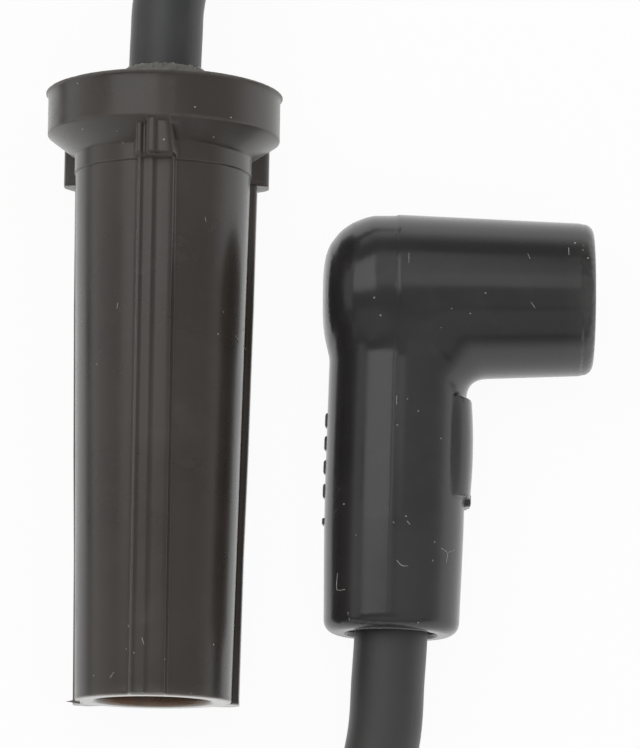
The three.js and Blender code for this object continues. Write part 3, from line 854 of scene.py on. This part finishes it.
def angle_boot_distance(p):
    """Signed distance from points to the boot's skin, negative in the rubber."""
    x, y, z = p[..., 0], p[..., 1], p[..., 2]
    arm_t = x * math.cos(ARM_LEAN) + y * math.sin(ARM_LEAN)
    arm_side = -x * math.sin(ARM_LEAN) + y * math.cos(ARM_LEAN)
    arm_r = np.hypot(arm_side, z)
    stem_t = -x * math.sin(STEM_LEAN) - y * math.cos(STEM_LEAN)
    stem_side = x * math.cos(STEM_LEAN) - y * math.sin(STEM_LEAN)
    stem_r = np.hypot(stem_side, z)
    arm = outline_distance(ARM_OUTLINE, arm_r, arm_t)
    stem = outline_distance(STEM_OUTLINE, stem_r, stem_t)
    body = smooth_min(arm, stem, np.interp(x, FILLET_CHANGE, (BACK_FILLET, FILLET)))
    around = np.arctan2(z, stem_side) * GAUGE_R
    crown = PAD_R - PAD_BOW * (stem_t - PAD_BOW_AT) ** 2 - PAD_ROUND * (around / PAD_HALF_WIDTH) ** 4
    pad = np.maximum(stem_r - crown, RAISED_FOOT_R - stem_r)
    pad_plan = rounded_box(around, stem_t - PAD_AT, PAD_HALF_WIDTH, PAD_HALF_LENGTH, PAD_CORNER)
    body = smooth_min(body, np.maximum(pad, pad_plan), PAD_BLEND)
    block = np.maximum(stem_r - BLOCK_R, RAISED_FOOT_R - stem_r)
    block_plan = rounded_box(
        around - BLOCK_AROUND, stem_t - BLOCK_AT, BLOCK_HALF_WIDTH, BLOCK_HALF_LENGTH, BLOCK_CORNER
    )
    body = smooth_min(body, np.maximum(block, block_plan), BLOCK_BLEND)
    bore = np.minimum(
        outline_distance(ARM_BORE, arm_r, arm_t), outline_distance(STEM_BORE, stem_r, stem_t)
    )
    return np.maximum(body, -bore)


def surface_net(values, origin, cell):
    """Quads along the zero level of a grid of values, one vertex in each cell that it crosses."""
    inside = values < 0
    corner = np.zeros(tuple(n - 1 for n in values.shape), int)
    for dx in (0, 1):
        for dy in (0, 1):
            for dz in (0, 1):
                corner += inside[
                    dx:values.shape[0] - 1 + dx, dy:values.shape[1] - 1 + dy, dz:values.shape[2] - 1 + dz
                ]
    mixed = (corner > 0) & (corner < 8)
    index = np.full(mixed.shape, -1)
    cells = np.argwhere(mixed)
    index[mixed] = np.arange(len(cells))
    total = np.zeros((len(cells), 3))
    count = np.zeros(len(cells))
    for axis in range(3):
        others = [a for a in range(3) if a != axis]
        for u in (0, 1):
            for v in (0, 1):
                start = np.zeros(3, int)
                start[others[0]], start[others[1]] = u, v
                end = start.copy()
                end[axis] = 1
                a = values[tuple((cells + start).T)]
                b = values[tuple((cells + end).T)]
                cut = (a < 0) != (b < 0)
                share = np.where(cut, a / np.where(cut, a - b, 1), 0)
                place = cells + start + share[:, None] * (end - start)
                total += np.where(cut[:, None], place, 0)
                count += cut
    vertices = origin + cell * total / count[:, None]
    faces = []
    for axis in range(3):
        b, c = [(1, 2), (2, 0), (0, 1)][axis]
        low = [slice(None)] * 3
        high = [slice(None)] * 3
        low[axis], high[axis] = slice(0, -1), slice(1, None)
        first, second = inside[tuple(low)], inside[tuple(high)]
        edges = np.argwhere(first != second)
        keep = (edges[:, b] > 0) & (edges[:, c] > 0)
        keep &= (edges[:, b] < mixed.shape[b]) & (edges[:, c] < mixed.shape[c])
        edges = edges[keep]
        flip = first[tuple(edges.T)]
        quad = []
        for db, dc in ((1, 1), (0, 1), (0, 0), (1, 0)):
            near = edges.copy()
            near[:, b] -= db
            near[:, c] -= dc
            quad.append(index[tuple(near.T)])
        quad = np.stack(quad, 1)
        quad[~flip] = quad[~flip][:, ::-1]
        faces.append(quad)
    return vertices, np.concatenate(faces)


def slope(field, points, step=0.02):
    parts = []
    for axis in range(3):
        shift = np.zeros(3)
        shift[axis] = step
        parts.append((field(points + shift) - field(points - shift)) / (2 * step))
    return np.stack(parts, 1)


def settle(field, points, rounds=3):
    """Moves points onto the field's zero level."""
    for _ in range(rounds):
        g = slope(field, points)
        points = points - field(points)[:, None] * g / np.maximum((g * g).sum(1), 0.3)[:, None]
    return points


def relax(vertices, quads, share):
    """Moves each vertex towards the middle of its neighbours."""
    total = np.zeros_like(vertices)
    count = np.zeros(len(vertices))
    for k in range(4):
        a, b = quads[:, k], quads[:, (k + 1) % 4]
        np.add.at(total, a, vertices[b])
        np.add.at(total, b, vertices[a])
        np.add.at(count, a, 1)
        np.add.at(count, b, 1)
    return vertices + share * (total / count[:, None] - vertices)


def angle_to_world(points):
    c, s = math.cos(ANGLE_TILT), math.sin(ANGLE_TILT)
    turn = np.array([[1, 0, 0], [0, c, -s], [0, s, c]])
    return (points @ turn.T + ANGLE_AT) * MM


def make_angle_boot():
    counts = np.ceil((FIELD_HIGH - FIELD_LOW) / VOXEL).astype(int) + 1
    axes = [FIELD_LOW[a] + VOXEL * np.arange(counts[a]) for a in range(3)]
    grid = np.stack(np.meshgrid(*axes, indexing="ij"), -1)
    values = angle_boot_distance(grid)
    vertices, quads = surface_net(values, FIELD_LOW, VOXEL)
    for _ in range(2):
        vertices = settle(angle_boot_distance, vertices, 2)
        vertices = relax(vertices, quads, 0.5)
    vertices = settle(angle_boot_distance, vertices)
    normals = slope(angle_boot_distance, vertices, 0.05)
    normals /= np.maximum(np.linalg.norm(normals, axis=1), 1e-9)[:, None]
    world = angle_to_world(vertices)
    turned = angle_to_world(vertices + normals) - world
    boot = mesh_object("right_angle_boot_skin", world, quads, BLACK, turned / MM)
    rim = np.exp(-np.abs(vertices[:, 0] - ARM_LENGTH + 0.5)) * (vertices[:, 0] > 18)
    add_attribute(boot, "worn", 0.5 * rim)
    place_piece(boot, "right_angle_boot")
    return boot


angle_boot = make_angle_boot()

STEM_ALONG = np.array([-math.sin(STEM_LEAN), -math.cos(STEM_LEAN), 0])
STEM_SIDE = np.array([math.cos(STEM_LEAN), -math.sin(STEM_LEAN), 0])
SEAM_SIDE = -0.6
ELBOW_SEAM_X = -0.38
SEAM_R = 0.11
SEAM_SUNK = 0.07
SEAM_RUN = (-8.6, 36.4)
SEAM_STEP = 0.25
SEAM_BEND_END = 9
SEAM_FALL_FROM = 11.0
SEAM_FALL_ROUNDS = 60


def make_seam():
    """Flash line of the mould's parting, along the top of the elbow and the stem."""
    t = np.arange(*SEAM_RUN, SEAM_STEP)
    stem_line = t[:, None] * STEM_ALONG + SEAM_SIDE * STEM_SIDE
    elbow_line = np.stack([np.full(len(t), ELBOW_SEAM_X), -t, np.zeros(len(t))], 1)
    share = np.clip(t / SEAM_BEND_END, 0, 1)[:, None]
    share = share * share * (3 - 2 * share)
    line = elbow_line + share * (stem_line - elbow_line)
    line[:, 2] = SEAM_FALL_FROM
    for _ in range(SEAM_FALL_ROUNDS):
        line[:, 2] -= 0.8 * angle_boot_distance(line)
    line[:, 2] -= SEAM_SUNK
    rng = np.random.default_rng(SEED + 1)
    thick = SEAM_R * (0.75 + 0.35 * np.convolve(rng.random(len(t) + 4), np.ones(5) / 5, "valid"))
    thick[[0, -1]] = 0.03
    seam = tube("right_angle_boot_seam", angle_to_world(line), thick * MM, 10, BLACK)
    place_piece(seam)


def stem_point(t, facing, radius):
    """Points on the stem, at distances along it and directions about it."""
    out = np.cos(facing)[..., None] * STEM_SIDE + np.sin(facing)[..., None] * np.array([0, 0, 1.0])
    return t[..., None] * STEM_ALONG + radius[..., None] * out


# Raised marks: [start along the stem, length]
MARKS = [(12.9, 1.72), (15.43, 1.72), (18.1, 1.65), (20.7, 1.7), (24.5, 0.8)]
MARK_FACING = math.radians(189)
MARK_HALF_WIDTH = 1.5
MARK_PROUD = 0.26
MARK_SUNK = 0.35
# The wear and torn layers on the raised marks: a painted highlight that lightens them to grey
MARK_PAINTED_HIGHLIGHT = (("worn", 0.8), ("torn", 0.5))


def make_marks():
    u, v = np.meshgrid(np.linspace(-1, 1, 17), np.linspace(-1, 1, 25), indexing="ij")
    swell = np.clip((1 - u ** 8) * (1 - v ** 10), 0, 1) ** 0.5
    for number, (start, length) in enumerate(MARKS, 1):
        t = start + length * (1 + u) / 2
        wall = np.interp(t, *zip(*STEM_WALL))
        facing = MARK_FACING + MARK_HALF_WIDTH * v / wall
        top = stem_point(t, facing, wall - MARK_SUNK + (MARK_PROUD + MARK_SUNK) * swell)
        bottom = stem_point(t, facing, wall - MARK_SUNK - 0.1)
        name = f"right_angle_boot_mark_{number}"
        mark = slab(name, angle_to_world(top), angle_to_world(bottom), BLACK)
        for layer, share in MARK_PAINTED_HIGHLIGHT:
            add_attribute(mark, layer, np.full(len(mark.data.vertices), share))
        place_piece(mark)


FLASH_FOOT = np.array([-8.0, -1.75, 0.12])
FLASH_RUN = np.array([-1.4, 0.25, -0.08])
FLASH_FOOT_R = 0.3
FLASH_TIP_R = 0.02


def make_tip_flash():
    """A spike of torn flash at the left of the straight boot's mouth."""
    share = np.linspace(0, 1, 9)[:, None]
    line = FLASH_FOOT + share * FLASH_RUN
    line = (np.array(PLUG_TIP) + line @ PLUG_BASIS) * MM
    thick = FLASH_TIP_R + FLASH_FOOT_R * (1 - share[:, 0]) ** 1.3
    flash = tube("straight_boot_flash", line, thick * MM, 12, BROWN)
    add_attribute(flash, "worn", np.ones(len(flash.data.vertices)))
    place_piece(flash)


make_seam()
make_marks()
make_tip_flash()


# Lint and crumbs, placed by the photograph's pixels: [points along a fibre] and (place of a crumb)

FIBRE_R = 0.038
FIBRE_LIFT = 0.4
FIBRE_STEP = 0.12
FIBRE_SIDES = 6
CRUMB_R = 0.085
CRUMB_RINGS = 5
CRUMB_SIDES = 8
CRUMB_HEIGHT = 0.6
CRUMB_ALONG = [0.3, 0.2, 0.9]
STRAIGHT_FIBRES = [
    [(235, 336), (237, 338), (239, 343)], [(245.5, 334), (250, 335.5), (253, 339)],
    [(243.5, 346), (246, 350)], [(141.8, 637.5), (143.9, 644.5)], [(114, 672), (110, 678)],
    [(240, 331), (244, 329)], [(118, 303), (117, 309)], [(205, 217), (206, 222)],
]
STRAIGHT_CRUMBS = [
    (96.8, 364.4), (218, 334), (223.4, 312), (81.8, 321.5), (134, 652.8), (126.3, 649),
    (164.6, 659.4), (234.1, 625.5), (213.7, 644.5), (93.8, 675.7), (163.9, 139.2), (195, 107),
    (231, 117.5), (213.8, 137), (117, 131), (83, 129), (128.5, 626), (77.5, 83.5), (146, 60.5),
]
ANGLE_FIBRES = [
    [(568.7, 247.5), (568.9, 255)], [(441, 548), (447, 553), (446, 563)], [(447, 553), (455, 549.5)],
    [(396.5, 560), (402, 565.5), (408, 566)], [(337.6, 573), (337.2, 589.5), (345, 589.5)],
    [(531, 302), (535, 308)], [(528, 254), (530, 259)], [(396.7, 395.5), (396.7, 404.5)],
    [(409, 253), (408.8, 263)], [(407, 521), (410, 524.5)], [(348, 612), (349.5, 620)],
]
ANGLE_CRUMBS = [
    (374, 297.7), (380.5, 315.3), (441.2, 327.6), (451.6, 308.5), (485.5, 293.2), (470.3, 313.6),
    (407.4, 399), (418.2, 411), (397.5, 425), (440.9, 438.4), (393.4, 522.2), (405.8, 516.2),
    (434.7, 542), (432.7, 560.6), (381.2, 629), (418, 622.6), (575, 243), (583, 250), (588, 258),
    (344, 504), (356, 535),
]


def seen_point(boot, pixel):
    """Place and facing of the boot's surface, in millimetres, at a pixel of the camera's view."""
    camera = bpy.context.scene.camera
    aim = Vector((pixel[0] - IMAGE_WIDTH / 2, IMAGE_HEIGHT / 2 - pixel[1], -PIXELS_PER_UNIT_SLOPE))
    aim.rotate(camera.rotation_euler)
    found, place, facing, _ = boot.ray_cast(camera.location, aim.normalized())
    return (np.array(place) / MM, np.array(facing)) if found else None


def crumb(place, facing, size, rng):
    """Vertices and faces of a small lumpy ball half sunk in the surface."""
    lift = np.repeat(np.linspace(-1, 1, CRUMB_RINGS + 2)[1:-1], CRUMB_SIDES)
    turns = np.tile(ring_turns(CRUMB_SIDES), CRUMB_RINGS)
    flat = np.sqrt(1 - lift ** 2)
    ball = np.stack([flat * np.cos(turns), flat * np.sin(turns), lift], 1)
    ball = np.vstack([ball, [0, 0, -1], [0, 0, 1]]) * rng.uniform(0.75, 1.25, (len(ball) + 2, 1))
    along = np.cross(facing, CRUMB_ALONG)
    along /= np.linalg.norm(along)
    basis = np.array([along * rng.uniform(0.8, 1.4), np.cross(facing, along), facing * CRUMB_HEIGHT])
    faces = grid_faces(CRUMB_RINGS, CRUMB_SIDES) + end_fans(CRUMB_RINGS, CRUMB_SIDES)
    return place + size * ball @ basis, faces


def fibre(points):
    """Vertices and faces of a thin strand that lies on the surface."""
    line = catmull_rom([place + FIBRE_R * FIBRE_LIFT * facing for place, facing in points], FIBRE_STEP)
    return tube_surface(line, np.full(len(line), FIBRE_R), FIBRE_SIDES)


def make_lint(name, boot, fibres, crumbs):
    """One piece of all the fibres and crumbs that stick to a boot."""
    rng = np.random.default_rng(SEED + 2)
    parts = []
    for pixels in fibres:
        points = [seen_point(boot, pixel) for pixel in pixels]
        if all(point is not None for point in points):
            parts.append(fibre(points))
    for pixel in crumbs:
        point = seen_point(boot, pixel)
        size = CRUMB_R * rng.uniform(0.7, 1.3)
        if point is not None:
            parts.append(crumb(*point, size, rng))
    vertices = np.vstack([part[0] for part in parts]) * MM
    vertices[:, 2] = np.maximum(vertices[:, 2], 0)
    faces, first = [], 0
    for points, quads in parts:
        faces += [tuple(first + k for k in face) for face in quads]
        first += len(points)
    place_piece(mesh_object(name, vertices, faces, LINT))


bpy.context.view_layer.update()
make_lint("straight_boot_lint", straight_boot, STRAIGHT_FIBRES, STRAIGHT_CRUMBS)
make_lint("right_angle_boot_lint", angle_boot, ANGLE_FIBRES, ANGLE_CRUMBS)


# Carried-over metal and core nodes

for node, material in (
    ("plug_terminal", PLATED),
    ("plug_terminal_snap_ring", SPRING),
    ("plug_end_folded_core", STRAND),
    ("right_angle_terminal", BRASS),
    ("right_angle_terminal_snap_ring", SPRING),
    ("coil_end_folded_core", STRAND),
):
    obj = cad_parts[node]
    obj.data.materials.clear()
    obj.data.materials.append(material)


# Floor, world and lights


FLOOR_HALF = 3.0
FLOOR_TONE = colour(0.9, 0.9, 0.9)
FLOOR_WHITE_SHARE = 0.94
WHITE = colour(1, 1, 1)


def make_floor():
    """White where it is seen or mirrored, apart from the shadow."""
    g = Graph("white_floor")
    path = g.add("ShaderNodeLightPath").outputs
    seen = g.math("MAXIMUM", path["Is Camera Ray"], path["Is Glossy Ray"])
    seen = g.math("MAXIMUM", seen, path["Is Transmission Ray"])
    share = g.math("MULTIPLY", seen, FLOOR_WHITE_SHARE)
    lit = g.add("ShaderNodeBsdfDiffuse", {"Color": FLOOR_TONE}).outputs[0]
    white = g.add("ShaderNodeEmission", {"Color": WHITE, "Strength": 1.0}).outputs[0]
    shader = g.add("ShaderNodeMixShader", {0: share, 1: lit, 2: white}).outputs[0]
    outline = [(x * FLOOR_HALF, y * FLOOR_HALF, 0) for x, y in ((-1, -1), (1, -1), (1, 1), (-1, 1))]
    floor = mesh_object("floor", outline, [(0, 1, 2, 3)], g.finish(shader))


SKY_FADE_END = 0.34
SKY_TOP = 0.2


def make_world():
    """White to the camera; as light it fades from the horizon upwards."""
    world = bpy.data.worlds.new("studio")
    bpy.context.scene.world = world
    world.use_nodes = True
    tree = world.node_tree
    tree.nodes.clear()
    path = tree.nodes.new("ShaderNodeLightPath")
    place = tree.nodes.new("ShaderNodeTexCoord")
    split = tree.nodes.new("ShaderNodeSeparateXYZ")
    tree.links.new(place.outputs["Generated"], split.inputs[0])
    fade = tree.nodes.new("ShaderNodeMapRange")
    fade.interpolation_type = "SMOOTHSTEP"
    tree.links.new(split.outputs["Z"], fade.inputs["Value"])
    fade.inputs["From Min"].default_value = 0.0
    fade.inputs["From Max"].default_value = SKY_FADE_END
    fade.inputs["To Min"].default_value = 1.0
    fade.inputs["To Max"].default_value = SKY_TOP
    surround = tree.nodes.new("ShaderNodeBackground")
    tree.links.new(fade.outputs["Result"], surround.inputs["Strength"])
    white = tree.nodes.new("ShaderNodeBackground")
    white.inputs["Color"].default_value = WHITE
    white.inputs["Strength"].default_value = 1.0
    mix = tree.nodes.new("ShaderNodeMixShader")
    tree.links.new(path.outputs["Is Camera Ray"], mix.inputs[0])
    tree.links.new(surround.outputs[0], mix.inputs[1])
    tree.links.new(white.outputs[0], mix.inputs[2])
    out = tree.nodes.new("ShaderNodeOutputWorld")
    tree.links.new(mix.outputs[0], out.inputs["Surface"])


def area_light(name, place, aim, size, energy, glossy):
    data = bpy.data.lights.new(name, "AREA")
    data.shape = "RECTANGLE"
    data.size, data.size_y = size
    data.energy = energy
    light = bpy.data.objects.new(name, data)
    bpy.context.scene.collection.objects.link(light)
    light.location = place
    light.rotation_euler = (Vector(aim) - Vector(place)).to_track_quat("-Z", "Y").to_euler()
    light.visible_glossy = glossy


make_floor()
make_world()

# Lights: [name, place, aim, size, energy, seen in reflections]
LIGHTS = [
    ("left_softbox", (-0.405, 0.357, 0.6), (-0.405, 0.357, 0.0), (0.726, 0.715), 1.85, True),
    ("back_softbox", (0.06, 0.439, 0.6), (0.06, 0.439, 0.0), (0.12, 0.774), 0.185, True),
    ("left_bounce", (-1.0, 0.25, 0.42), (0, 0.05, 0), (1.2, 0.45), 0.68, True),
    ("right_softbox", (0.468, 0.0, 0.52), (0, 0, 0), (0.73, 0.98), 0.5, True),
    ("front_softbox", (0.0, -0.585, 0.546), (0, 0, 0), (1.6, 0.54), 0.62, True),
    ("fill", (0.1, -0.2, 1.4), (0, 0, 0), (1.6, 1.6), 10.8, False),
]
for light in LIGHTS:
    area_light(*light)

bpy.context.scene.view_settings.view_transform = "Standard"


# Corners of a box, as lists of floats


def corners(box):
    return [[float(c) for c in corner] for corner in box]
